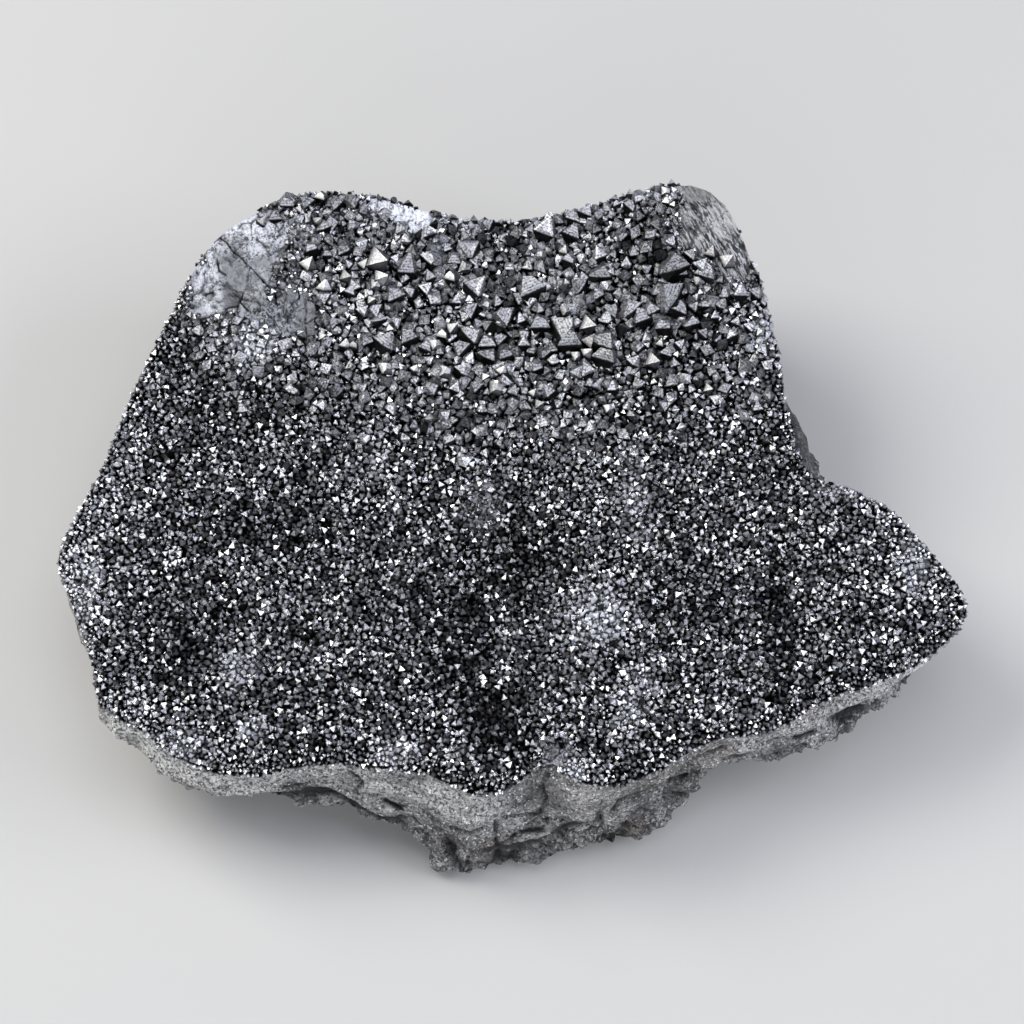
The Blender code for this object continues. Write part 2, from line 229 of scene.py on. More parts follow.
subdivide_where(ore, lambda centres, facings: on_side(centres, facings) & (facings[:, 1] < 0.2), 6)
subdivide_where(ore, lambda centres, facings: on_side(centres, facings) & (facings[:, 1] >= 0.2), 4)
subdivide_where(ore, lambda centres, facings: (facings[:, 2] < -0.75) & (centres[:, 2] <= FEET), 2)
print(len(ore.data.polygons), "faces in the rock")

# %% [markdown]
# ## Places seen in the picture
# Cracks, stains and large crystals each have their own place on the real stone. They are noted by
# the pixel at which they show. A ray from the camera through that pixel meets the solid where the
# mark belongs, so it sits on the stone from every side.

# %% Where a pixel of the picture meets the specimen
depsgraph = bpy.context.evaluated_depsgraph_get()
crust_tree = BVHTree.FromObject(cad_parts["hausmannite_crust"], depsgraph)
ore_tree = BVHTree.FromObject(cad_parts["ore_matrix"], depsgraph)


def photo_point(px, py, tree=crust_tree):
    """The place on a solid that shows at a pixel of the picture, in mm, or None past its edge."""
    across = (px - PICTURE / 2) / PICTURE * SENSOR
    rise = (PICTURE / 2 - py) / PICTURE * SENSOR
    way = -back * LENS + Vector((1, 0, 0)) * across + up * rise
    hit = tree.ray_cast(eye * MM, way.normalized())
    return None if hit[0] is None else hit[0] / MM


def segments(lines, tree):
    """The lines, given by pixels, as pairs of places on a solid."""
    pairs = []
    for line in lines:
        found = [photo_point(px, py, tree) for px, py in line]
        found = [place for place in found if place is not None]
        pairs += [(np.array(a), np.array(b)) for a, b in zip(found, found[1:])]
    return pairs


def off_lines(points, pairs):
    """Distance from each point to the nearest of the line pieces, in mm."""
    nearest = np.full(len(points), 99.0)
    for a, b in pairs:
        t = np.clip((points - a) @ (b - a) / max((b - a) @ (b - a), 1e-9), 0, 1)
        nearest = np.minimum(nearest, np.linalg.norm(points - a - t[:, None] * (b - a), axis=1))
    return nearest


print("the middle of the picture meets the crust at", [round(v, 1) for v in photo_point(512, 512)])

# %% [markdown]
# ## Fracture relief
# Broken ore has relief of every size, so several noises are added up: lumps, chips at odd levels,
# ledges, crumbs and grain. Near the crust the rock is compact and the relief low. Below that band
# it is rough, with a crack here and there along the change. The deep creases of the front are
# drawn as lines on top.

# %% Creases of the front, by pixel
CREASES = [
    [(405, 797), (418, 806), (428, 816), (441, 826), (455, 829), (470, 834), (484, 829)],
    [(497, 824), (496, 842), (500, 862)], [(548, 774), (541, 788), (546, 800), (539, 816)],
    [(498, 847), (508, 842), (516, 834)], [(520, 832), (532, 829), (542, 829)],
    [(573, 833), (590, 831), (603, 829), (604, 842)], [(600, 814), (601, 830)],
    [(561, 818), (567, 834), (560, 852)],
    [(612, 815), (620, 802), (640, 795), (655, 787), (668, 781), (684, 779)],
    [(505, 818), (525, 815), (545, 819)], [(350, 772), (362, 783), (356, 793)],
    [(285, 787), (305, 783), (325, 777)], [(385, 800), (400, 808), (415, 822)],
    [(762, 744), (780, 740), (800, 737), (815, 731)], [(840, 722), (855, 712), (872, 706)],
    [(700, 756), (725, 748)],
]
CREASE_DEPTH, CREASE_WIDTH = 0.8, 0.26  # mm

# %% Push the rock's points in and out
BAND_HEIGHT = 9.4  # mm of compact rock under the crystals in the middle, above the lumpy part
WING_BAND_HEIGHT = 4.6  # the same at the two sides


def rock_push(point, away):
    """How far a point of the broken rock stands out, in mm. away is its distance from the crust."""
    p = Vector(point)
    lumps = noise.fractal(p / 3.2, 0.7, 2.1, 3)
    grain = noise.noise(p / 0.7)
    cells, centres = noise.voronoi(p / 2.4)
    chips = min(0.5, cells[1] - cells[0]) - 0.25
    step = noise.noise(centres[0] * 3.7)
    small_cells, _ = noise.voronoi(p / 1.0)
    crumbs = min(0.5, small_cells[1] - small_cells[0]) - 0.25
    ledges = noise.noise(Vector((p.x / 5, p.y / 5, p.z / 0.8)))
    fine_cells, _ = noise.voronoi(p / 0.55 + Vector((3, 1, 7)))
    sugar = min(0.5, fine_cells[1] - fine_cells[0]) - 0.25
    compact = 0.26 * lumps + 0.06 * grain + 0.2 * ledges + 0.28 * crumbs + 0.16 * sugar
    lumpy = 0.5 * lumps + 0.1 * grain + 1.4 * chips + 1.1 * step + 0.45 * ledges + 0.8 * crumbs + 0.3 * sugar
    wing = min(1.0, max(0.0, (abs(p.x) - 14) / 10))
    turn = BAND_HEIGHT + (WING_BAND_HEIGHT - BAND_HEIGHT) * wing + 1.6 * noise.noise(p / 9)
    below = min(1.0, max(0.0, (away - turn) / 1.2))
    open_here = max(0.0, 0.5 + 1.4 * noise.noise(p / 6 + Vector((4, 0, 9))))
    crack = math.exp(-(((away - turn) / 0.55) ** 2)) * open_here
    return compact * (1 - below) + lumpy * below - 0.9 * crack, below


points, normals = rows(ore.data.vertices, "co") / MM, rows(ore.data.vertices, "normal")
off_creases = off_lines(points, segments(CREASES, ore_tree))
creases = CREASE_DEPTH * np.exp(-((off_creases / CREASE_WIDTH) ** 2))
hollow_shade, lumpiness = np.zeros(len(points)), np.zeros(len(points))
for i, (point, normal) in enumerate(zip(points, normals)):
    away = crust_tree.find_nearest(Vector(point) * MM)[3] / MM
    if normal[2] > 0.9 and away < 0.8:
        continue
    push, lumpiness[i] = rock_push(point, away)
    push -= creases[i]
    # Painted shade: a point pushed in gets a hollow shade value, which the material paints darker.
    hollow_shade[i] = min(1.0, max(0.0, -1.5 * push - 0.05))
    hold = min(1.0, max(0.0, (away - 0.25) / 1.2))
    floor_hold = min(1.0, max(0.0, point[2] / 1.5))
    points[i] = point + normal * push * hold * floor_hold
points[:, 2] = np.maximum(points[:, 2], 0.0)
set_points(ore, points)
keep_values(ore.data, {"hollow_shade": hollow_shade, "lumpy": lumpiness})
print("rock box in mm:", points.min(0).round(1), points.max(0).round(1))

# %% [markdown]
# ## Stains, painted shade and paler places on the rock
# Weather has left brown stains in places. The deep parts and some other places are darkened with
# painted shade, and some places are paler. Colour alone isn't raised, so each of these is only a
# number at the rock's points, which its material turns into a tint. Noise makes their edges ragged.

# %% Marks by pixel, with a reach in mm and a strength
STAINS = [
    (490, 850, 3, 0.6), (630, 830, 3, 0.55), (655, 778, 4, 0.35), (710, 752, 4, 0.45),
    (815, 703, 3, 0.6), (450, 840, 2.5, 0.2), (590, 800, 3.5, 0.3),
]
# Painted shade: places that are darkened, at the right edge and along creases and ledges.
PAINTED_SHADE_PLACES = [
    (795, 430, 9, 0.85), (812, 462, 6, 0.7), (670, 790, 2.6, 0.75), (640, 798, 2.6, 0.5),
    (551, 795, 2.8, 0.45), (505, 852, 3, 0.5), (535, 848, 3.4, 0.4), (300, 787, 3, 0.4),
    (352, 780, 1.8, 0.5), (785, 748, 3, 0.45), (845, 728, 1.8, 0.5), (465, 852, 5, 0.25),
    (425, 808, 1.8, 0.4),
]
PALE_PLACES = [
    (160, 752, 9, 0.7), (120, 720, 5, 0.6), (230, 780, 8, 0.6), (330, 775, 5, 0.4), (440, 795, 4, 0.5),
    (480, 808, 4, 0.4), (590, 800, 4.5, 0.4), (810, 715, 8, 0.5), (740, 740, 6, 0.4),
    (910, 670, 6, 0.6), (860, 695, 5, 0.4), (380, 790, 4, 0.3),
]


def noise_at(points, scale):
    """Smooth noise at each place, from about -1 to 1."""
    return np.array([noise.noise(Vector((p[0] / scale, p[1] / scale, p[2] / scale))) for p in points])


def rock_spots(places, marks):
    """How strongly the marks cover each place of the rock."""
    strength = np.zeros(len(places))
    ragged = 0.6 * noise_at(places, 1.6)
    for px, py, reach, most in marks:
        middle = photo_point(px, py, ore_tree)
        away = np.linalg.norm(places - np.array(middle), axis=1) / reach + ragged
        strength = np.maximum(strength, most * np.clip(1.4 - 1.3 * away, 0, 1))
    return strength


points = rows(ore.data.vertices, "co") / MM
tints = {"stain": STAINS, "shade": PAINTED_SHADE_PLACES, "pale": PALE_PLACES}
keep_values(ore.data, {label: rock_spots(points, marks) for label, marks in tints.items()})
print("marks on the rock:", [len(marks) for marks in tints.values()])

# %% [markdown]
# ## Ground of the crust
# Between and under the crystals lies a dark, sugary layer. It is a copy of the crust's solid with
# the solid's pyramids pressed down to their average height, found by casting rays down on a grid
# and blurring the heights. The real crystals are then set on this ground.

# %% Heights of the crystal face
STEP = 0.5  # mm between rays
ABOVE = 60  # mm, a height from which every ray starts above the specimen
DOWN = Vector((0, 0, -1))
grid_x = np.arange(-56, 56.01, STEP)
grid_y = np.arange(-43, 43.01, STEP)
heights = np.full((len(grid_y), len(grid_x)), np.nan)
for row, y in enumerate(grid_y):
    for column, x in enumerate(grid_x):
        hit = crust_tree.ray_cast(Vector((x, y, ABOVE)) * MM, DOWN)
        if hit[0] is not None:
            heights[row, column] = hit[0].z / MM


def blurred(values, sigma):
    """The values averaged over a round neighbourhood, leaving out those that are missing."""
    reach = int(3 * sigma)
    weights = np.exp(-0.5 * (np.arange(-reach, reach + 1) / sigma) ** 2)
    known = (~np.isnan(values)).astype(float)
    total = np.nan_to_num(values)
    for axis in (0, 1):
        total = np.apply_along_axis(np.convolve, axis, total, weights, "same")
        known = np.apply_along_axis(np.convolve, axis, known, weights, "same")
    return total / np.maximum(known, 1e-9)


ground = blurred(heights, 2.2 / STEP)
inland = blurred(np.where(np.isnan(heights), 0.0, 1.0), 1.0 / STEP)


def on_grid(x, y, grid=ground):
    """The ground's height in mm, or another grid's value, at places given as arrays."""
    fx = np.clip((np.asarray(x) - grid_x[0]) / STEP, 0, len(grid_x) - 1.001)
    fy = np.clip((np.asarray(y) - grid_y[0]) / STEP, 0, len(grid_y) - 1.001)
    ix, iy = fx.astype(int), fy.astype(int)
    tx, ty = fx - ix, fy - iy
    low = grid[iy, ix] * (1 - tx) + grid[iy, ix + 1] * tx
    high = grid[iy + 1, ix] * (1 - tx) + grid[iy + 1, ix + 1] * tx
    return low * (1 - ty) + high * ty


print("crystal face from", np.nanmin(heights).round(1), "to", np.nanmax(heights).round(1), "mm high")

# %% [markdown]
# ## Bare, broken patches
# Here and there the crystals broke off, and the massive mineral under them shows: smooth slabs at
# odd levels, pitted grain, pale milky places that are a painted reflection, and hairline cracks.
# The ground gets more faces there, so that the slabs and cracks are real relief, and numbers at its
# points tell the material the rest, including painted shade in the hollows.

# %% Patches by pixel, with their reach across and up in mm and a strength
def spots(patches):
    """The patches with places on the crust instead of pixels."""
    found = [(photo_point(px, py), *rest) for px, py, *rest in patches]
    return [spot for spot in found if spot[0] is not None]


def patch_strength(patches, x, y, ragged=0.0):
    """How strongly the patches cover each place, most in their middle and nothing outside."""
    strength = np.zeros(len(x))
    for middle, reach_x, reach_y, most in patches:
        away = np.hypot((x - middle.x) / reach_x, (y - middle.y) / reach_y) + ragged
        cover = most * np.clip(1.6 - 1.2 * away, 0, 1)
        strength = np.where(np.abs(cover) > np.abs(strength), cover, strength)
    return strength


BARE_PATCHES = spots([
    (240, 262, 7.6, 9.6, 1), (213, 300, 3.6, 3.6, 1), (290, 312, 4.8, 3.8, 0.95),
    (262, 228, 6.5, 4, 1), (412, 218, 4, 2.6, 1), (385, 208, 3.2, 1.8, 1), (712, 218, 5, 8, 1),
    (698, 192, 4.4, 3, 1), (735, 250, 3, 4.8, 1), (308, 330, 1.6, 2.6, 0.8),
    (482, 505, 2.6, 4.6, 0.72), (552, 757, 1.8, 2.2, 1),
])
FILMED_PATCHES = spots([
    (636, 495, 1.8, 5.5, 0.5), (600, 612, 3.2, 4, 0.9), (640, 680, 2.2, 2.2, 0.5),
    (630, 715, 2, 3.4, 0.5), (238, 665, 2.2, 3.4, 0.6), (250, 725, 1.6, 1.8, 0.6),
    (180, 745, 3.2, 1.8, 0.7), (395, 752, 2.6, 1.8, 0.7), (575, 776, 1.8, 1.6, 0.8),
    (82, 590, 2.4, 5.4, 0.6), (845, 488, 4.8, 1.3, 0.7), (765, 335, 1.4, 3, 0.7),
    (250, 340, 3.4, 3, 0.7), (120, 450, 2, 4, 0.3), (375, 470, 2.5, 2, 0.3), (470, 222, 2.2, 2, 0.9),
    (543, 228, 1.8, 3, 0.9), (469, 249, 2, 2, 0.6), (474, 285, 1.5, 1.6, 0.7),
    (563, 308, 1.4, 1.5, 0.6), (599, 262, 1.6, 1.6, 0.5), (915, 560, 1.6, 4.5, 0.6),
    (440, 240, 2, 2, 0.5), (205, 300, 2, 2, 0.6), (585, 213, 3.6, 1.6, 0.7), (640, 192, 4.5, 1.6, 0.7),
    (300, 228, 4, 3, 0.4), (345, 208, 3.4, 2.2, 0.5),
])
# Painted reflection: pale bluish-white patches where the broken rim mirrors the lamps.
PAINTED_REFLECTION_PATCHES = spots([
    (412, 218, 5, 4, 1), (385, 208, 4.5, 3, 0.8), (245, 224, 4.4, 1.7, 0.7), (207, 276, 1.6, 3.4, 0.6),
    (222, 243, 1.8, 1.6, 0.4), (255, 244, 2.4, 1.8, 0.4),
])
PITTED_PATCHES = spots([
    (250, 237, 2, 1.8, 1), (272, 230, 1.8, 1.6, 1), (300, 235, 3, 4, 0.8), (320, 225, 3, 3, 0.8),
    (700, 218, 2, 4.4, 1), (738, 255, 1.8, 3.4, 1), (262, 252, 1.8, 1, 0.8), (296, 306, 2.4, 2, 0.5),
])

# %% Slabs, with a tone from dark to light, and cracks
SLABS = spots([
    (227, 266, 1.7, 1.35, 0.3), (243, 281, 1.7, 1.2, 0.36), (230, 297, 1.3, 1.1, 0.15),
    (214, 303, 1.3, 1.6, 0.85), (255, 297, 1.9, 1.6, 0.66), (285, 294, 1.8, 1, 0.2),
    (278, 272, 1.3, 1.2, 0.5), (263, 263, 1.4, 0.9, 0.3), (312, 314, 1.8, 2.4, 0.25),
    (308, 334, 1.5, 2.2, 0.2), (697, 190, 2.3, 1.7, 0.12), (723, 218, 1.4, 2.8, 0.8),
    (293, 272, 1.3, 1.3, 0.4), (320, 320, 1.2, 1.2, 0.3), (482, 505, 2.4, 4.2, 0.3),
])
CRACKS = segments([
    [
        (221, 237), (227, 242), (232, 250), (241, 257), (250, 267), (260, 277), (270, 287), (284, 290),
        (292, 284),
    ],
    [(217, 259), (219, 270), (226, 275)], [(243, 292), (240, 300), (248, 309)],
    [(228, 316), (226, 308), (238, 304)], [(272, 271), (276, 262), (284, 266)],
    [(262, 280), (275, 292), (276, 304)], [(292, 303), (299, 299), (300, 291)],
    [(306, 236), (303, 252)], [(206, 292), (213, 290)],
], crust_tree)
CRACK_DEPTH, CRACK_WIDTH = 0.6, 0.1  # mm
FLANK = 14  # mm, the x from which the break is the streaked flank on the right


def slab_tones(x, y, ragged):
    """Which places lie on a smooth slab of the break, with its tone from dark to light."""
    share, tone = np.zeros(len(x)), np.full(len(x), 0.5)
    for middle, reach_x, reach_y, grey in SLABS:
        away = np.abs((x - middle.x) / reach_x) ** 2.6 + np.abs((y - middle.y) / reach_y) ** 2.6
        cover = np.clip(4.5 - 4 * away ** 0.4 - 2.2 * ragged, 0, 1)
        tone = np.where(cover > share, grey, tone)
        share = np.maximum(share, cover)
    return share, tone


def massive_relief(x, y):
    """Height in mm of a broken surface over the ground: plates at odd levels, streaks and grain."""
    p = Vector((x, y, 0))
    cells, centres = noise.voronoi(p / 2.6)
    level = noise.noise(centres[0] * 3.7)
    joint = 0.35 * math.exp(-(((cells[1] - cells[0]) / 0.06) ** 2))
    slope = Vector(((x * 0.87 + y * 0.5) / 0.7, (y * 0.87 - x * 0.5) / 4.5, 2.0))
    streak = noise.fractal(slope, 0.8, 2.1, 2)
    grain = 0.2 * noise.fractal(p / 0.9, 0.7, 2.1, 4)
    if x > FLANK:
        return 0.18 * level + 0.5 * streak + 0.4 * grain
    return 0.42 * level - joint + 0.1 * streak + grain


print(len(BARE_PATCHES), "bare patches with", len(SLABS), "slabs")

# %% Press the pyramids flat, and break the bare patches
crust = worked_copy("hausmannite_crust", "crust_ground")


def near_bare(centres, facings):
    return (facings[:, 2] > 0.05) & (patch_strength(BARE_PATCHES, centres[:, 0], centres[:, 1]) > 0.05)


def near_crack(centres, facings):
    return near_bare(centres, facings) & (off_lines(centres, CRACKS) < 0.3)


def covered(patches, points, ragged_scale):
    """How strongly the patches cover each point, with an edge made ragged by noise."""
    ragged = 0.3 * noise_at(points, ragged_scale)
    return patch_strength(patches, points[:, 0], points[:, 1], ragged)


subdivide_where(crust, near_bare, 11)
subdivide_where(crust, near_crack, 3)
points = rows(crust.data.vertices, "co") / MM
bare = covered(BARE_PATCHES, points, 2.5)
cracked = CRACK_DEPTH * np.exp(-((off_lines(points, CRACKS) / CRACK_WIDTH) ** 2))
pressed = points.copy()
hollow_shade = np.zeros(len(points))
for i, point in enumerate(points):
    hit = crust_tree.ray_cast(Vector((point[0], point[1], ABOVE)) * MM, DOWN)
    on_top = hit[0] is None or abs(hit[0].z / MM - point[2]) < 0.02
    if not on_top:
        pressed[i, 2] -= 0.28
        continue
    level = float(on_grid(point[0], point[1]))
    pressed[i, 2] = min(point[2], level - 0.45)
    if bare[i] > 0:
        relief = massive_relief(point[0], point[1]) - cracked[i]
        # Painted shade: the lower a point of the break lies, the darker the material paints it.
        hollow_shade[i] = min(1.0, max(0.0, -2.4 * relief - 0.12))
        broken = level + 0.1 + relief
        pressed[i, 2] += (min(point[2] + 0.6, broken) - pressed[i, 2]) * min(1.0, bare[i] * 1.6)
set_points(crust, pressed)
filmed = covered(FILMED_PATCHES, points, 1.5)
slab, slab_tone = slab_tones(points[:, 0], points[:, 1], noise_at(points, 1.1))
shares = {
    "bare": np.maximum(bare, 0.6 * filmed),
    "film_and_painted_reflection": np.maximum(covered(PAINTED_REFLECTION_PATCHES, points, 1.5), 0.5 * filmed),
    "hollow_shade": hollow_shade,
    "flank": np.clip((points[:, 0] - 12) / 4, 0, 1),
    "slab": slab,
    "slab_tone": slab_tone,
    "pitted": covered(PITTED_PATCHES, points, 1.0),
}
keep_values(crust.data, shares)
print(len(crust.data.polygons), "faces in the ground")

# %% [markdown]
# ## Crystals, modelled once each
# Hausmannite grows as a double pyramid on a square, a little taller than an octahedron. Few are
# perfect: some are stepped, chipped, broken to rough blocks, or have a smaller one grown on them.
# Each kind is made from a four-sided cone and its mirror image. Thousands of copies, each
# turned, sized and set in its own place, are then written into one mesh, which is far lighter than
# thousands of objects.

# %% Plain crystal
TIP_RATIO = 1.16  # tip height over half the square's diagonal, from the mineral's axes


def start_crystal():
    """A unit double pyramid: half diagonal 1, standing on its point."""
    deselect()
    middle = (0, 0, TIP_RATIO / 2)
    bpy.ops.mesh.primitive_cone_add(
        vertices=4, radius1=1, radius2=0, depth=TIP_RATIO, end_fill_type="NOTHING", location=middle
    )
    crystal = bpy.context.object
    bpy.ops.object.transform_apply(location=True, rotation=True, scale=True)
    bpy.ops.object.mode_set(mode="EDIT")
    bpy.ops.mesh.select_all(action="SELECT")
    bpy.ops.mesh.duplicate()
    bpy.ops.transform.resize(value=(1, 1, -1), center_override=(0, 0, 0))
    bpy.ops.mesh.select_all(action="SELECT")
    bpy.ops.mesh.remove_doubles(threshold=0.001)
    bpy.ops.mesh.normals_make_consistent(inside=False)
    return crystal


def finish_crystal(crystal):
    """Leaves edit mode and gives the crystal's corners and triangles as arrays."""
    bpy.ops.mesh.select_all(action="SELECT")
    bpy.ops.mesh.quads_convert_to_tris()
    bpy.ops.mesh.normals_make_consistent(inside=False)
    bpy.ops.object.mode_set(mode="OBJECT")
    corners = np.array([v.co[:] for v in crystal.data.vertices])
    faces = np.array([f.vertices[:] for f in crystal.data.polygons])
    bpy.data.objects.remove(crystal)
    return corners, faces


PLAIN = finish_crystal(start_crystal())
print("plain crystal:", len(PLAIN[1]), "faces")

# %% Stepped crystal: each upper face has a lower terrace round a raised one
crystal = start_crystal()
bpy.ops.mesh.select_all(action="DESELECT")
bpy.ops.object.mode_set(mode="OBJECT")
for face in crystal.data.polygons:
    face.select = face.normal.z > 0
bpy.ops.object.mode_set(mode="EDIT")
bpy.ops.mesh.inset(thickness=0.13, depth=0.05, use_individual=True)
bpy.ops.mesh.inset(thickness=0.14, depth=-0.045, use_individual=True)
STEPPED = finish_crystal(crystal)
print("stepped crystal:", len(STEPPED[1]), "faces")

# %% Broken crystals: a lost tip, a lost corner, and blocks that lost most of their points
CUTS = [
    [((0, 0, 0.72), (0.35, 0.2, 1))],
    [((0.5, 0, 0.2), (1, 0.3, 0.5)), ((-0.2, 0.1, 0.86), (-0.2, 0.5, 1))],
    [((0, 0, 0.62), (0.5, -0.1, 1)), ((0.45, 0.2, 0), (1, 0.5, 0.3)), ((-0.3, 0.5, 0), (-0.4, 1, 0.2))],
    [((0, 0, 0.55), (-0.3, -0.4, 1)), ((-0.5, 0, 0), (-1, 0.2, 0.5)), ((0.2, -0.6, 0), (0.3, -1, 0.1))],
    [((0.1, 0, 0.75), (0.1, 0.6, 1)), ((0.5, -0.4, 0), (0.8, -0.7, 0.4)), ((0, 0.65, 0.1), (-0.2, 1, 0.6))],
]
BROKEN = []
for cuts in CUTS:
    crystal = start_crystal()
    for place, normal in cuts:
        bpy.ops.mesh.select_all(action="SELECT")
        bpy.ops.mesh.bisect(plane_co=place, plane_no=normal, use_fill=True, clear_outer=True)
    BROKEN.append(finish_crystal(crystal))
CHIPPED, CORNERLESS, *BLOCKS = BROKEN
print("broken crystals:", [len(faces) for corners, faces in BROKEN], "faces")

# %% Twin crystal: a smaller one grown on the shoulder, parallel to the first
crystal = start_crystal()
bpy.ops.mesh.select_all(action="SELECT")
bpy.ops.mesh.duplicate()
bpy.ops.transform.resize(value=(0.62, 0.62, 0.62), center_override=(0, 0, 0))
bpy.ops.transform.translate(value=(0.42, -0.16, 0.3))
TWINNED = finish_crystal(crystal)
print("twinned crystal:", len(TWINNED[1]), "faces")
KINDS = [PLAIN, STEPPED, CHIPPED, CORNERLESS, TWINNED, *BLOCKS]


# %% Copies of the crystals in one mesh
def turned_frames(upward, spin):
    """A rotation matrix for each crystal: its tip along upward, turned by spin about that."""
    up_axis = upward / np.linalg.norm(upward, axis=1, keepdims=True)
    helper = np.where(np.abs(up_axis[:, :1]) < 0.9, [[1.0, 0, 0]], [[0, 1.0, 0]])
    side = np.cross(helper, up_axis)
    side /= np.linalg.norm(side, axis=1, keepdims=True)
    other = np.cross(up_axis, side)
    c, s = np.cos(spin)[:, None], np.sin(spin)[:, None]
    return np.stack([side * c + other * s, other * c - side * s, up_axis], axis=2)


def triangle_mesh(name, corners, faces):
    """A flat-shaded mesh from arrays of corners in mm and triangles."""
    mesh = bpy.data.meshes.new(name)
    mesh.vertices.add(len(corners))
    mesh.vertices.foreach_set("co", (corners * MM).astype(np.float32).ravel())
    mesh.loops.add(faces.size)
    mesh.loops.foreach_set("vertex_index", faces.astype(np.int32).ravel())
    mesh.polygons.add(len(faces))
    mesh.polygons.foreach_set("loop_start", np.arange(0, faces.size, 3, dtype=np.int32))
    mesh.polygons.foreach_set("use_smooth", np.zeros(len(faces), bool))
    mesh.update(calc_edges=True)
    return mesh


def crystal_field(name, centres, turns, stretch, kinds, values):
    """All the crystals of one field as a single piece. stretch is half sizes in mm, three each.

    Each point also keeps its place on the crystal before that was turned, for the growth lines,
    and its height on it, for the painted shade that darkens the lower part of each crystal.
    """
    all_corners, all_faces, all_growth, all_rise, owner, start = [], [], [], [], [], 0
    for number, (corners, faces) in enumerate(KINDS):
        chosen = np.flatnonzero(kinds == number)
        if not len(chosen):
            continue
        grown = corners[None] * stretch[chosen][:, None, :]
        placed = np.einsum("nij,nvj->nvi", turns[chosen], grown) + centres[chosen][:, None, :]
        all_corners.append(placed.reshape(-1, 3))
        shift = chosen[:, None, None] * np.array([7.3, 3.1, 0.0])
        all_growth.append((grown + shift).reshape(-1, 3))
        all_rise.append(np.tile(corners[:, 2] / TIP_RATIO, len(chosen)))
        firsts = start + np.arange(len(chosen)) * len(corners)
        all_faces.append((faces[None] + firsts[:, None, None]).reshape(-1, 3))
        owner.append(np.repeat(chosen, len(corners)))
        start += len(chosen) * len(corners)
    owner = np.concatenate(owner)
    mesh = triangle_mesh(name, np.concatenate(all_corners), np.concatenate(all_faces))
    shown = {label: numbers[owner] for label, numbers in values.items()}
    keep_values(mesh, {**shown, "rise": np.concatenate(all_rise)})
    layer = mesh.attributes.new("growth", "FLOAT_VECTOR", "POINT")
    layer.data.foreach_set("vector", np.concatenate(all_growth).astype(np.float32).ravel())
    piece = bpy.data.objects.new(name, mesh)
    bpy.context.scene.collection.objects.link(piece)
    print(name, len(centres), "crystals,", len(mesh.polygons), "faces")
    return piece


# %% [markdown]
# ## Crystals that stand out
# A facet flashes when it mirrors a lamp into the camera. So each crystal that shows white in the
# picture is turned until one of its faces does that with the key light, and the light and the grey
# ones do it with the dimmer panel overhead. The tip then points one of several ways, and one that
# stays fairly upright is chosen. The large grey ones sit deepest, as on the real stone.

# %% Their pixels, with the width in pixels
WHITE = [
    (322, 200, 11), (300, 208, 8), (378, 262, 20), (364, 268, 10), (381, 276, 15), (375, 286, 10),
    (346, 278, 11), (308, 267, 13), (325, 290, 13), (330, 303, 8), (371, 300, 8), (390, 331, 8),
    (322, 339, 8), (346, 349, 10), (355, 349, 10), (452, 329, 11), (444, 339, 12), (435, 348, 11),
    (385, 372, 12), (444, 373, 12), (502, 375, 10), (495, 391, 13), (485, 375, 8), (588, 328, 15),
    (590, 343, 13), (587, 356, 11), (653, 364, 14), (661, 344, 8), (665, 191, 9), (712, 255, 11),
    (727, 262, 13), (698, 283, 10), (576, 358, 10), (533, 397, 8), (539, 407, 9), (708, 392, 9),
    (608, 412, 9), (631, 414, 9), (291, 203, 9), (317, 216, 9), (565, 252, 9), (452, 281, 13),
    (565, 312, 10), (415, 371, 8),
]
LIGHT = [
    (312, 248, 15), (327, 256, 9), (350, 264, 8), (350, 293, 10), (362, 315, 11), (364, 328, 8),
    (411, 293, 12), (430, 279, 10), (474, 287, 19), (470, 252, 18), (456, 303, 9), (483, 317, 8),
    (522, 322, 11), (524, 347, 11), (363, 386, 9), (430, 362, 8), (455, 389, 10), (546, 288, 10),
    (541, 312, 10), (570, 262, 15), (577, 252, 8), (600, 258, 13), (545, 232, 20), (630, 206, 12),
    (700, 262, 13), (657, 295, 12), (540, 327, 18), (587, 375, 13), (633, 365, 12), (613, 391, 11),
    (596, 389, 9), (740, 294, 14), (725, 296, 12), (735, 325, 9), (679, 347, 9), (428, 235, 12),
    (447, 245, 8), (693, 309, 9), (715, 318, 8), (640, 197, 14), (585, 213, 14), (513, 390, 10),
]
GREY = [
    (289, 204, 18), (306, 203, 14), (337, 201, 15), (353, 199, 16), (275, 214, 12), (262, 222, 10),
    (488, 226, 12), (376, 312, 13), (378, 322, 14), (368, 341, 15), (384, 345, 19), (395, 296, 17),
    (408, 270, 22), (432, 262, 20), (489, 257, 10), (470, 310, 16), (505, 316, 19), (409, 340, 17),
    (425, 349, 12), (470, 332, 22), (487, 345, 16), (487, 357, 18), (462, 350, 16), (463, 373, 15),
    (477, 389, 12), (433, 387, 14), (532, 292, 25), (519, 300, 12), (579, 288, 16), (600, 272, 20),
    (571, 235, 16), (574, 215, 14), (672, 266, 28), (684, 273, 14), (706, 273, 19), (668, 298, 30),
    (678, 306, 18), (630, 309, 20), (642, 318, 18), (612, 313, 14), (650, 312, 17), (665, 325, 19),
    (690, 325, 15), (720, 305, 12), (703, 305, 11), (563, 328, 24), (570, 345, 22), (603, 342, 26),
    (606, 356, 22), (506, 355, 18), (545, 355, 13), (538, 368, 14), (639, 347, 12), (666, 355, 11),
    (550, 394, 14), (345, 245, 16), (323, 226, 14), (691, 256, 12), (755, 295, 12), (703, 335, 10),
    (334, 318, 12), (623, 232, 13), (500, 340, 12),
]
FACE_TILT = math.atan(TIP_RATIO * math.sqrt(2))  # angle between a face's normal and the tip
PIXEL = VIEW_WIDTH / PICTURE  # mm
rng = np.random.default_rng(11)


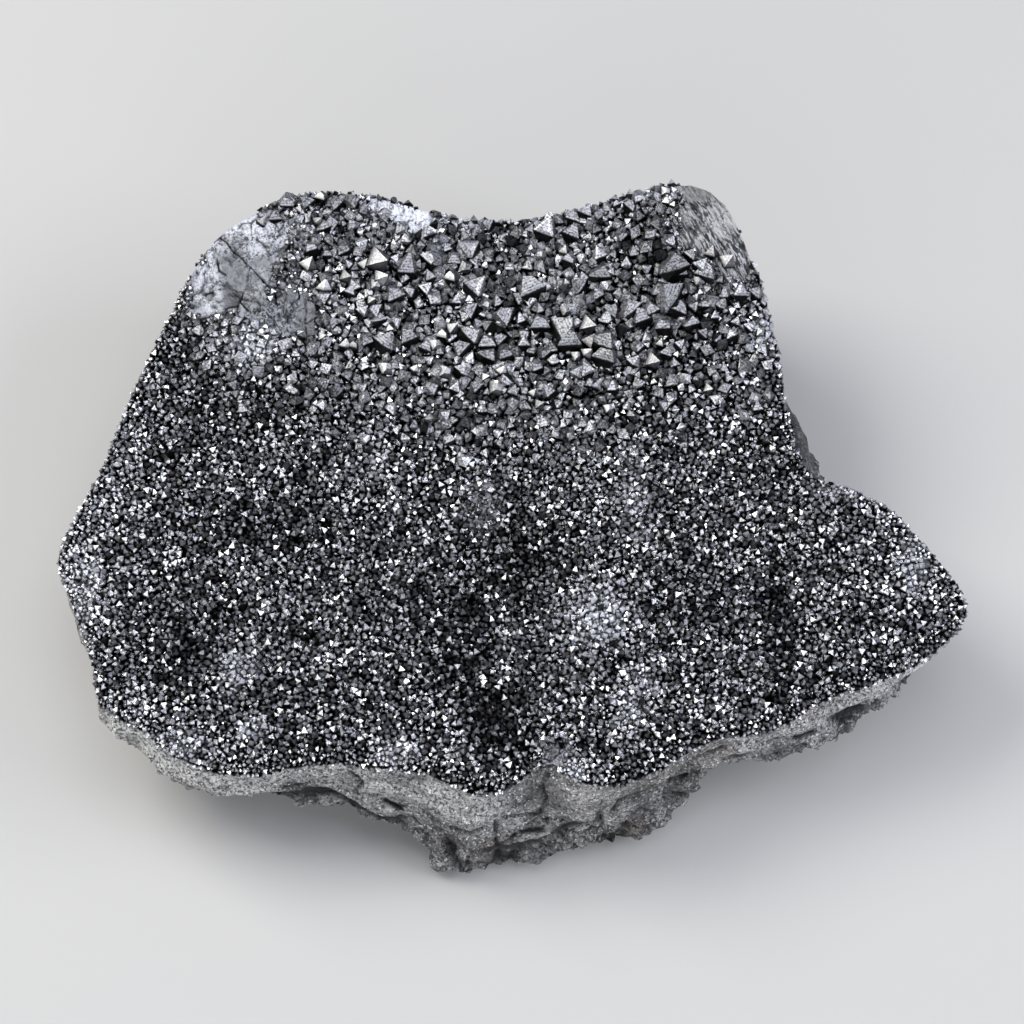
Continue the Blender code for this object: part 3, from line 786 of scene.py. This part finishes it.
# %% Turn each one to its lamp
def upright_tip(mirror):
    """A direction for the tip of a crystal that has a face looking along mirror."""
    away = mirror.orthogonal().normalized()
    tips = []
    for turn in range(16):
        axis = Matrix.Rotation(turn * math.pi / 8, 3, mirror) @ away
        tips.append(Matrix.Rotation(FACE_TILT, 3, axis) @ mirror)
    upright = sorted(tips, key=lambda tip: -tip.z)[:5]
    return upright[int(rng.integers(len(upright)))]


def standing_out(name, marks, lamp, lamp_share, kinds, chances, wear, lift):
    """Crystals placed by pixel, with a face turned to mirror the lamp by lamp_share.

    lift is how far a crystal's middle is above the ground, as a part of its size.
    """
    centres, turns, sizes = [], [], []
    for px, py, width in marks:
        place = photo_point(px, py)
        size = width * PIXEL / math.sqrt(2) * 1.15
        to_eye = (eye - place).normalized()
        to_lamp = (Vector(lamp) - place).normalized()
        mirror = (to_eye + to_lamp).normalized()
        mirror = (mirror * lamp_share + Vector(rng.normal(size=3)) * (1 - lamp_share)).normalized()
        tip = upright_tip(mirror)
        side = (mirror - tip * mirror.dot(tip)).normalized()
        side = Matrix.Rotation(math.pi / 4, 3, tip) @ side
        turns.append(np.array([side, tip.cross(side), tip]).T)
        centres.append((place.x, place.y, float(on_grid(place.x, place.y)) + lift * size))
        sizes.append(size)
    count = len(centres)
    centres, sizes = np.array(centres), np.array(sizes)
    kinds = rng.choice(kinds, count)
    values = {"pale": np.zeros(count), "chance": rng.uniform(*chances, count), "wear": np.full(count, wear)}
    stretch = np.repeat(sizes[:, None], 3, axis=1)
    return crystal_field(name, centres, np.array(turns), stretch, kinds, values), centres, sizes


BLOCKY = [5, 6, 7, 3, 5, 6, 7, 2]  # numbers in KINDS, mostly rough blocks
standouts = [
    standing_out("white_facet_crystals", WHITE, KEY_PLACE, 0.97, [0, 0, 2, 3], (0.15, 0.35), 0.5, 0.2),
    standing_out("light_facet_crystals", LIGHT, TOP_PLACE, 0.95, [0, 1, 2, 3, 4, 5], (0.45, 0.8), 0.9, 0.1),
    standing_out("large_grey_crystals", GREY, TOP_PLACE, 0.92, BLOCKY, (0.35, 0.65), 1.0, -0.05),
]

# %% [markdown]
# ## The small crystals
# Crystals crowd until they touch. Each is tried at a random place and kept if no earlier one is
# too near, from the largest down. How large they may be depends on the place: the band along the
# back has crystals of 2 to 5 mm, and the rest under 1 mm. Bare broken stretches have none.

# %% Lighter and darker zones, and the coarse band
ZONES = spots([
    (500, 720, 4, 5, -0.5), (520, 570, 5, 5, -0.3), (265, 530, 8, 4, -0.2), (180, 640, 4, 5, -0.25),
    (778, 620, 1.6, 10, -0.4), (460, 640, 5, 8, -0.25), (660, 248, 4, 4, -0.3),
    (500, 235, 3, 3, -0.25), (690, 325, 4, 3, -0.2), (220, 600, 4, 4, -0.15), (700, 600, 4, 7, -0.12),
    (400, 600, 5, 4, -0.15), (80, 590, 4, 8, 0.25), (115, 480, 4, 6, 0.2), (600, 610, 5, 6, 0.25),
    (625, 690, 6, 6, 0.2), (870, 570, 9, 8, 0.06), (610, 480, 3, 7, 0.15), (240, 660, 3, 4, 0.25),
    (150, 735, 5, 3, 0.25), (240, 735, 3, 4, 0.2), (385, 755, 5, 2.5, 0.3), (580, 340, 7, 6, 0.1),
    (250, 335, 4, 4, 0.3), (350, 270, 6, 6, 0.12), (760, 335, 2, 5, 0.3), (445, 325, 3, 4, 0.15),
    (920, 560, 3, 6, 0.2), (375, 465, 3, 3, 0.2), (75, 575, 2, 6, 0.5), (95, 510, 2.5, 4, 0.4),
    (755, 335, 2.4, 4, 0.5), (255, 340, 3.6, 3, 0.5), (385, 760, 4, 1.8, 0.5),
    (585, 775, 3, 1.8, 0.45), (450, 338, 2.6, 2.6, 0.35), (130, 720, 4, 2.6, 0.35),
    (900, 530, 3, 5, 0.3), (930, 575, 2, 4, 0.35), (130, 430, 2.5, 5, 0.25),
])


def band_share(x, y):
    """1 in the middle of the band of coarse crystals and 0 away from it."""
    return np.clip(1.5 - np.hypot((x - 0.5) / 31.0, (y - 27.0) / 15.5) * 1.05, 0, 1)


def surface_samples(piece, count):
    """Random places on the top and the edge of a piece, evenly by area, with their normals."""
    mesh = piece.data
    mesh.calc_loop_triangles()
    corners = np.array([t.vertices[:] for t in mesh.loop_triangles])
    points, normals = rows(mesh.vertices, "co") / MM, rows(mesh.vertices, "normal")
    a, b, c = (points[corners[:, k]] for k in range(3))
    face_normal = np.cross(b - a, c - a)
    area = np.linalg.norm(face_normal, axis=1) / 2
    face_normal /= np.maximum(2 * area[:, None], 1e-9)
    area = area * (face_normal[:, 2] > -0.2)  # not the seam below
    chosen = rng.choice(len(area), count, p=area / area.sum())
    s, t = rng.random(count), rng.random(count)
    s, t = np.where(s + t > 1, 1 - s, s), np.where(s + t > 1, 1 - t, t)
    s, t = s[:, None], t[:, None]
    place = a[chosen] * (1 - s - t) + b[chosen] * s + c[chosen] * t
    n = normals[corners[chosen]]
    normal = n[:, 0] * (1 - s - t) + n[:, 1] * s + n[:, 2] * t
    return place, normal / np.linalg.norm(normal, axis=1, keepdims=True)


def crowd(places, sizes, share, sure):
    """Numbers of the places that aren't too near an earlier one. The first ones are kept surely.

    Places are looked up in cubes of 1 mm, so only those nearby are compared.
    """
    cubes, kept = {}, []
    for i, (x, y, z, room) in enumerate(np.column_stack([places, sizes * share]).tolist()):
        column, row, layer = int(x // 1), int(y // 1), int(z // 1)
        reach = 1 if room <= 0.5 else 3
        near = any(
            (x - a) ** 2 + (y - b) ** 2 + (z - c) ** 2 < (room + other) ** 2
            for dx in range(-reach, reach + 1)
            for dy in range(-reach, reach + 1)
            for dz in (-1, 0, 1)
            for a, b, c, other in cubes.get((column + dx, row + dy, layer + dz), ())
        )
        if i < sure or not near:
            cubes.setdefault((column, row, layer), []).append((x, y, z, room))
            kept.append(i)
    return np.array(kept)


# %% Throw them
TRIES = 240000
CROWDING = 0.54  # how near crystals stand, as a share of their half sizes added up
places, normals = surface_samples(crust, TRIES)
band = band_share(places[:, 0], places[:, 1])
# Sizes are half diagonals in mm. Nearly all are fine, and a few in the band are coarse.
sizes = 0.26 + 0.35 * rng.random(TRIES) ** 1.9 + 0.03 * band
draw = rng.random(TRIES)
sizes = np.where(draw < 0.08 * band, rng.uniform(0.55, 0.85, TRIES), sizes)
sizes = np.where(draw < 0.018 * band, rng.uniform(0.8, 1.15, TRIES), sizes)
at_rim = on_grid(places[:, 0], places[:, 1], inland) < 0.93
rim_limit = rng.uniform(0.24, 0.5, TRIES) + 0.4 * np.clip(band * 2 - 0.3, 0, 1)
sizes = np.where(at_rim, np.minimum(sizes, rim_limit), sizes)
under_film = patch_strength(FILMED_PATCHES, places[:, 0], places[:, 1]) > 0.4
sizes = np.where(under_film & (draw > 0.1), sizes * 0.95, sizes)
order = np.argsort(-np.round(sizes, 1), kind="stable")
places, normals, sizes = places[order], normals[order], sizes[order]
clear = covered(BARE_PATCHES, places, 2.5) < rng.uniform(0.35, 0.8, TRIES)
places, normals, sizes = places[clear], normals[clear], sizes[clear]
standing = np.concatenate([found for piece, found, half_sizes in standouts])
standing_room = 0.52 * np.concatenate([half_sizes for piece, found, half_sizes in standouts])
count = len(standing)
kept = crowd(np.concatenate([standing, places]), np.concatenate([standing_room, sizes]), CROWDING, count)
kept = kept[kept >= count] - count
places, normals, sizes = places[kept], normals[kept], sizes[kept]
ragged = 0.35 * noise_at(places, 2.5) + 0.25 * rng.normal(size=len(places))
pale = patch_strength(FILMED_PATCHES, places[:, 0], places[:, 1], ragged) * rng.uniform(0.2, 1.0, len(places))
zone = covered(ZONES, places, 4.0) + 0.12 * band_share(places[:, 0], places[:, 1])
print(len(places), "crystals stand,", int((sizes > 0.6).sum()), "of them coarse")


# %% Set them on the ground
def fields(name, chosen, mixture):
    """The chosen crystals as a piece. mixture is the share of each kind of crystal."""
    count = int(chosen.sum())
    lift = sizes[chosen] * rng.uniform(0.0, 0.5, count)
    lean = normals[chosen] + 0.42 * rng.normal(size=(count, 3))
    widths = [(0.8, 1.15), (0.8, 1.15), (0.85, 1.1)]
    shape = np.stack([rng.uniform(least, most, count) for least, most in widths], 1)
    turns = turned_frames(lean, rng.uniform(0, 2 * math.pi, count))
    kinds = rng.choice(len(KINDS), count, p=mixture)
    values = {
        "pale": pale[chosen],
        "chance": np.clip(rng.random(count) + zone[chosen], 0, 1),
        "wear": np.clip(sizes[chosen] * 2.2 - 0.75, 0.15, 1),
    }
    centres = places[chosen] + normals[chosen] * lift[:, None]
    return crystal_field(name, centres, turns, sizes[chosen][:, None] * shape, kinds, values)


coarse = sizes > 0.66
on_left = places[:, 0] < 0
COARSE_MIXTURE = [0.14, 0.14, 0.14, 0.14, 0.14, 0.1, 0.1, 0.1]
FINE_MIXTURE = [0.76, 0, 0.12, 0, 0, 0.04, 0.04, 0.04]
crystal_pieces = [
    fields("coarse_crystals", coarse, COARSE_MIXTURE),
    fields("fine_crystals_left", ~coarse & on_left, FINE_MIXTURE),
    fields("fine_crystals_right", ~coarse & ~on_left, FINE_MIXTURE),
    *[piece for piece, found, half_sizes in standouts],
]
for piece in crystal_pieces:
    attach(piece, "root")
    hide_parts("hausmannite_crust")
print(len(crystal_pieces), "pieces of crystals")

# %% [markdown]
# ## Materials: crystal faces
# Hausmannite is a black manganese oxide with a refractive index of about 2.4, so its faces reflect
# about a fifth of the light, nearly like a metal, over a body that is almost black. A metallic
# shader with a grey base gives that, and the base is how bright a facet mirrors its lamp. Small
# faces are glassy. Large ones are worn, with growth lines and pits, so they are rougher.

# %% Natural crystal faces
BLACK = linear("#070708")
faces_mat, shader, place, add = new_material("hausmannite_natural_crystal_faces")
chance, film, rise, wear = (
    add("Attribute", attribute_name=label).outputs["Fac"] for label in ("chance", "pale", "rise", "wear")
)
growth = add("Attribute", attribute_name="growth").outputs["Vector"]
tone = add("Mix", {"Factor": chance, "A": linear("#303033"), "B": linear("#cfcfd2")}, data_type="RGBA")
filmed = add("Mix", {"Factor": film, "A": tone, "B": linear("#b4b7bf")}, data_type="RGBA")
# Growth lines run round a crystal, parallel to its base. Real ones are some hundredths of a
# millimetre apart, which no render would show, so they are drawn about 0.3 mm apart.
lines = add(
    "TexWave", {"Vector": growth, "Scale": 1.0, "Distortion": 3.0, "Detail": 3.0, "Detail Scale": 2.0},
    bands_direction="Z", wave_profile="SAW",
).outputs["Fac"]
pits = add("TexNoise", {"Vector": growth, "Scale": 3.4, "Detail": 3.0, "Roughness": 0.75})
lined = add("MapRange", {"Value": lines, "From Max": 0.35, "To Min": 0.2})
pitted = add(
    "MapRange", {"Value": pits, "From Min": 0.42, "From Max": 0.52, "To Min": 0.25, "To Max": 1.15}
)
# Painted shade: the lower part of each crystal is painted nearly black, for the shadow between
# crystals. It reaches up a small one further than up a large one.
painted_shade_top = add("MapRange", {"Value": wear, "From Min": 0.15, "To Min": 0.46, "To Max": 0.1})
painted_shade = add("MapRange", {"Value": rise, "From Max": painted_shade_top, "To Min": 0.02})
wear_and_painted_shade = add("Math", {0: lined, 1: pitted}, operation="MULTIPLY")
wear_and_painted_shade = add("Mix", {"Factor": wear, "A": 1.0, "B": wear_and_painted_shade})
wear_and_painted_shade = add("Math", {0: wear_and_painted_shade, 1: painted_shade}, operation="MULTIPLY")
colour = add("Mix", {"Factor": wear_and_painted_shade, "A": BLACK, "B": filmed}, data_type="RGBA")
# A pale film takes the metal lustre away, so a filmed crystal is light grey from every side.
lustre = add("MapRange", {"Value": film, "From Max": 0.7, "To Min": 1.0, "To Max": 0.2})
glassy = add("MapRange", {"Value": chance, "To Min": 0.36, "To Max": 0.16})
dull = add("MapRange", {"Value": wear, "From Min": 0.45})
rough = add("Mix", {"Factor": dull, "A": glassy, "B": 0.5})
relief = add("Mix", {"Factor": 0.7, "A": lines, "B": pits})
bump = add("Bump", {"Height": relief, "Strength": 0.55, "Distance": 0.00012})
fill(shader, {"Base Color": colour, "Metallic": lustre, "Roughness": rough, "Normal": bump})
for piece in crystal_pieces:
    piece.data.materials.append(faces_mat)
print("crystal faces:", len(faces_mat.node_tree.nodes), "nodes")

# %% [markdown]
# ## Materials: broken hausmannite
# Broken across, the crystals of the mass show as large angular patches with a hairline here and
# there. A warped cell pattern gives those, clouds and fine noise vary them, and the numbers kept at
# the ground's points say where it is bare, milky white, pitted, darkened by painted hollow shade or
# a smooth slab. The milky white is partly a pale film and partly a painted reflection. Everywhere
# else the ground is the black gap between the crystals.

# %% Tone of the bare patches
ground_mat, shader, place, add = new_material("hausmannite_massive_broken")
bare, film_and_painted_reflection, flank, slab, slab_tone, rough_patch, hollow_shade = (
    add("Attribute", attribute_name=label).outputs["Fac"]
    for label in ("bare", "film_and_painted_reflection", "flank", "slab", "slab_tone", "pitted", "hollow_shade")
)
warp = add("TexNoise", {"Vector": place, "Scale": 700.0, "Detail": 3.0, "Roughness": 0.6}).outputs["Color"]
bent = add("VectorMath", {0: warp, "Scale": 0.0022}, operation="SCALE")
bent = add("VectorMath", {0: place, 1: bent}, operation="ADD")
grown = add("TexVoronoi", {"Vector": bent, "Scale": 260.0}).outputs["Color"]
patch = add("SeparateColor", {"Color": grown})
joints = add("TexVoronoi", {"Vector": bent, "Scale": 260.0}, feature="DISTANCE_TO_EDGE")
hairline = add("MapRange", {"Value": joints, "From Min": 0.005, "From Max": 0.025, "To Min": 0.3})
cloud = add("TexNoise", {"Vector": place, "Scale": 380.0, "Detail": 5.0, "Roughness": 0.65})
greys = add("Mix", {"Factor": 0.3, "A": cloud, "B": patch})
greys = add("MapRange", {"Value": greys, "From Min": 0.3, "From Max": 0.68})
tone = add("Mix", {"Factor": greys, "A": linear("#484a4f"), "B": linear("#aaadb5")}, data_type="RGBA")
smooth = add(
    "Mix", {"Factor": slab_tone, "A": linear("#3d3f43"), "B": linear("#b3b5b8")}, data_type="RGBA"
)
laid = add("Math", {0: slab, 1: 0.8}, operation="MULTIPLY")
tone = add("Mix", {"Factor": laid, "A": tone, "B": smooth}, data_type="RGBA")
dusty = add("Math", {0: flank, 1: 0.4}, operation="MULTIPLY")
# Painted reflection: a pale bluish white over the milky patches, and where it comes from the film, the film's
# own pale colour.
for share, tint in ((film_and_painted_reflection, "#e6e8f0"), (dusty, "#85837e")):
    tone = add("Mix", {"Factor": share, "A": tone, "B": linear(tint)}, data_type="RGBA")

# %% Grain and pits of the bare patches, and the black gaps
# The broken grains are about 0.1 mm across. Drawn twice as coarse or more, they still show. On the
# right flank they lie in streaks down the slope, so there the pattern is stretched that way.
along = add(
    "Mapping", {"Vector": place, "Rotation": (0, 0, math.radians(28)), "Scale": (1.0, 4.5, 2.0)},
    vector_type="TEXTURE",
)
mottle = add("TexNoise", {"Vector": place, "Scale": 2700.0, "Detail": 4.0, "Roughness": 0.75})
streaks = add("TexNoise", {"Vector": along, "Scale": 3200.0, "Detail": 2.0, "Roughness": 0.6})
mottle = add("Mix", {"Factor": flank, "A": mottle, "B": streaks})
shown = add("MapRange", {"Value": bare, "From Min": 0.15, "From Max": 0.5})
# Some of the break is smooth and some of it rough, with deep pits.
rougher = add("TexNoise", {"Vector": place, "Scale": 230.0, "Detail": 2.0})
rougher = add(
    "MapRange", {"Value": rougher, "From Min": 0.42, "From Max": 0.58, "To Min": 0.36, "To Max": 0.46}
)
rougher = add("Mix", {"Factor": rough_patch, "A": rougher, "B": 0.47})
even = add("Math", {0: slab, 1: film_and_painted_reflection}, operation="MAXIMUM")
rougher = add("Mix", {"Factor": even, "A": rougher, "B": 0.25})
pits = add(
    "MapRange", {"Value": mottle, "From Min": rougher, "From Max": 0.54, "To Min": 0.06, "To Max": 1.05},
    clamp=False,
)
light = add("Clamp", {"Value": pits, "Min": 0.05, "Max": 1.25})
# Painted shade: the hollows of the break are painted darker, down to a tenth.
hollow_shade_factor = add("MapRange", {"Value": hollow_shade, "To Min": 1.0, "To Max": 0.1})
for part in (shown, hollow_shade_factor, hairline):
    light = add("Math", {0: light, 1: part}, operation="MULTIPLY")
colour = add("Mix", {"Factor": light, "A": BLACK, "B": tone}, data_type="RGBA")
# Hardly any light gets into the gaps. As a black metal the ground there doesn't shine.
gap = add("MapRange", {"Value": shown, "To Min": 1.0, "To Max": 0.0})
bump = add("Bump", {"Height": mottle, "Strength": 1.0, "Distance": 0.0004})
fill(shader, {"Base Color": colour, "Metallic": gap, "Roughness": 0.42, "Normal": bump})
crust.data.materials.append(ground_mat)
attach(crust, "root")
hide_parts("hausmannite_crust")
print("broken hausmannite:", len(ground_mat.node_tree.nodes), "nodes")

# %% [markdown]
# ## Materials: broken ore
# The ore is a dense mix of grey oxides with the dull gleam of broken metal ore. Its tone varies in
# clouds, its grain leaves pits, bright specks are painted glints of cleavage faces, and below the
# compact band it broke along hairlines into angular lumps, which look darker. Deep places get
# painted shade.

# %% Broken ore
ore_mat, shader, place, add = new_material("manganese_ore_broken")
pale, stain, lumpy, shade, hollow_shade = (
    add("Attribute", attribute_name=label).outputs["Fac"]
    for label in ("pale", "stain", "lumpy", "shade", "hollow_shade")
)
clouds = add("TexNoise", {"Vector": place, "Scale": 240.0, "Detail": 6.0, "Roughness": 0.7})
clouds = add("MapRange", {"Value": clouds, "From Min": 0.32, "From Max": 0.66})
# The grains of the ore are finer than a picture shows, so pits and specks are 0.2 to 0.4 mm here.
grain = add("TexNoise", {"Vector": place, "Scale": 2700.0, "Detail": 4.0, "Roughness": 0.8})
pits = add("MapRange", {"Value": grain, "From Min": 0.42, "From Max": 0.55, "To Min": 0.98, "To Max": 0.0})
specks = add("TexVoronoi", {"Vector": place, "Scale": 5200.0}).outputs["Color"]
specks = add("SeparateColor", {"Color": specks})
# Painted glints: a few grains are painted bright, as if their cleavage faces caught the light.
painted_glint = add("MapRange", {"Value": specks, "From Min": 0.9, "From Max": 0.95, "To Max": 0.8})
warp = add("TexNoise", {"Vector": place, "Scale": 900.0, "Detail": 3.0}).outputs["Color"]
bent = add("VectorMath", {0: warp, "Scale": 0.0014}, operation="SCALE")
bent = add("VectorMath", {0: place, 1: bent}, operation="ADD")
joints = add("TexVoronoi", {"Vector": bent, "Scale": 560.0}, feature="DISTANCE_TO_EDGE")
hairline = add(
    "MapRange", {"Value": joints, "From Min": 0.015, "From Max": 0.07, "To Min": 0.85, "To Max": 0.22}
)
below = add("Math", {0: hairline, 1: lumpy}, operation="MULTIPLY")
# Painted shade: the marked dark places and the hollows are painted nearly black.
painted_shade = add("Math", {0: shade, 1: hollow_shade}, operation="MAXIMUM")
tints = [
    (pale, "#cfcecb"), (stain, "#5c4a38"), (pits, "#161617"), (painted_glint, "#d2d3d5"), (below, "#161617"),
    (painted_shade, "#1b1b1d"),
]
tone = add("Mix", {"Factor": clouds, "A": linear("#4c4b4a"), "B": linear("#aeadab")}, data_type="RGBA")
for share, tint in tints:
    tone = add("Mix", {"Factor": share, "A": tone, "B": linear(tint)}, data_type="RGBA")
bump = add("Bump", {"Height": grain, "Strength": 1.0, "Distance": 0.0004})
fill(shader, {"Base Color": tone, "Roughness": 0.5, "Normal": bump})
ore.data.materials.append(ore_mat)
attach(ore, "root")
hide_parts("ore_matrix")
print("broken ore:", len(ore_mat.node_tree.nodes), "nodes")
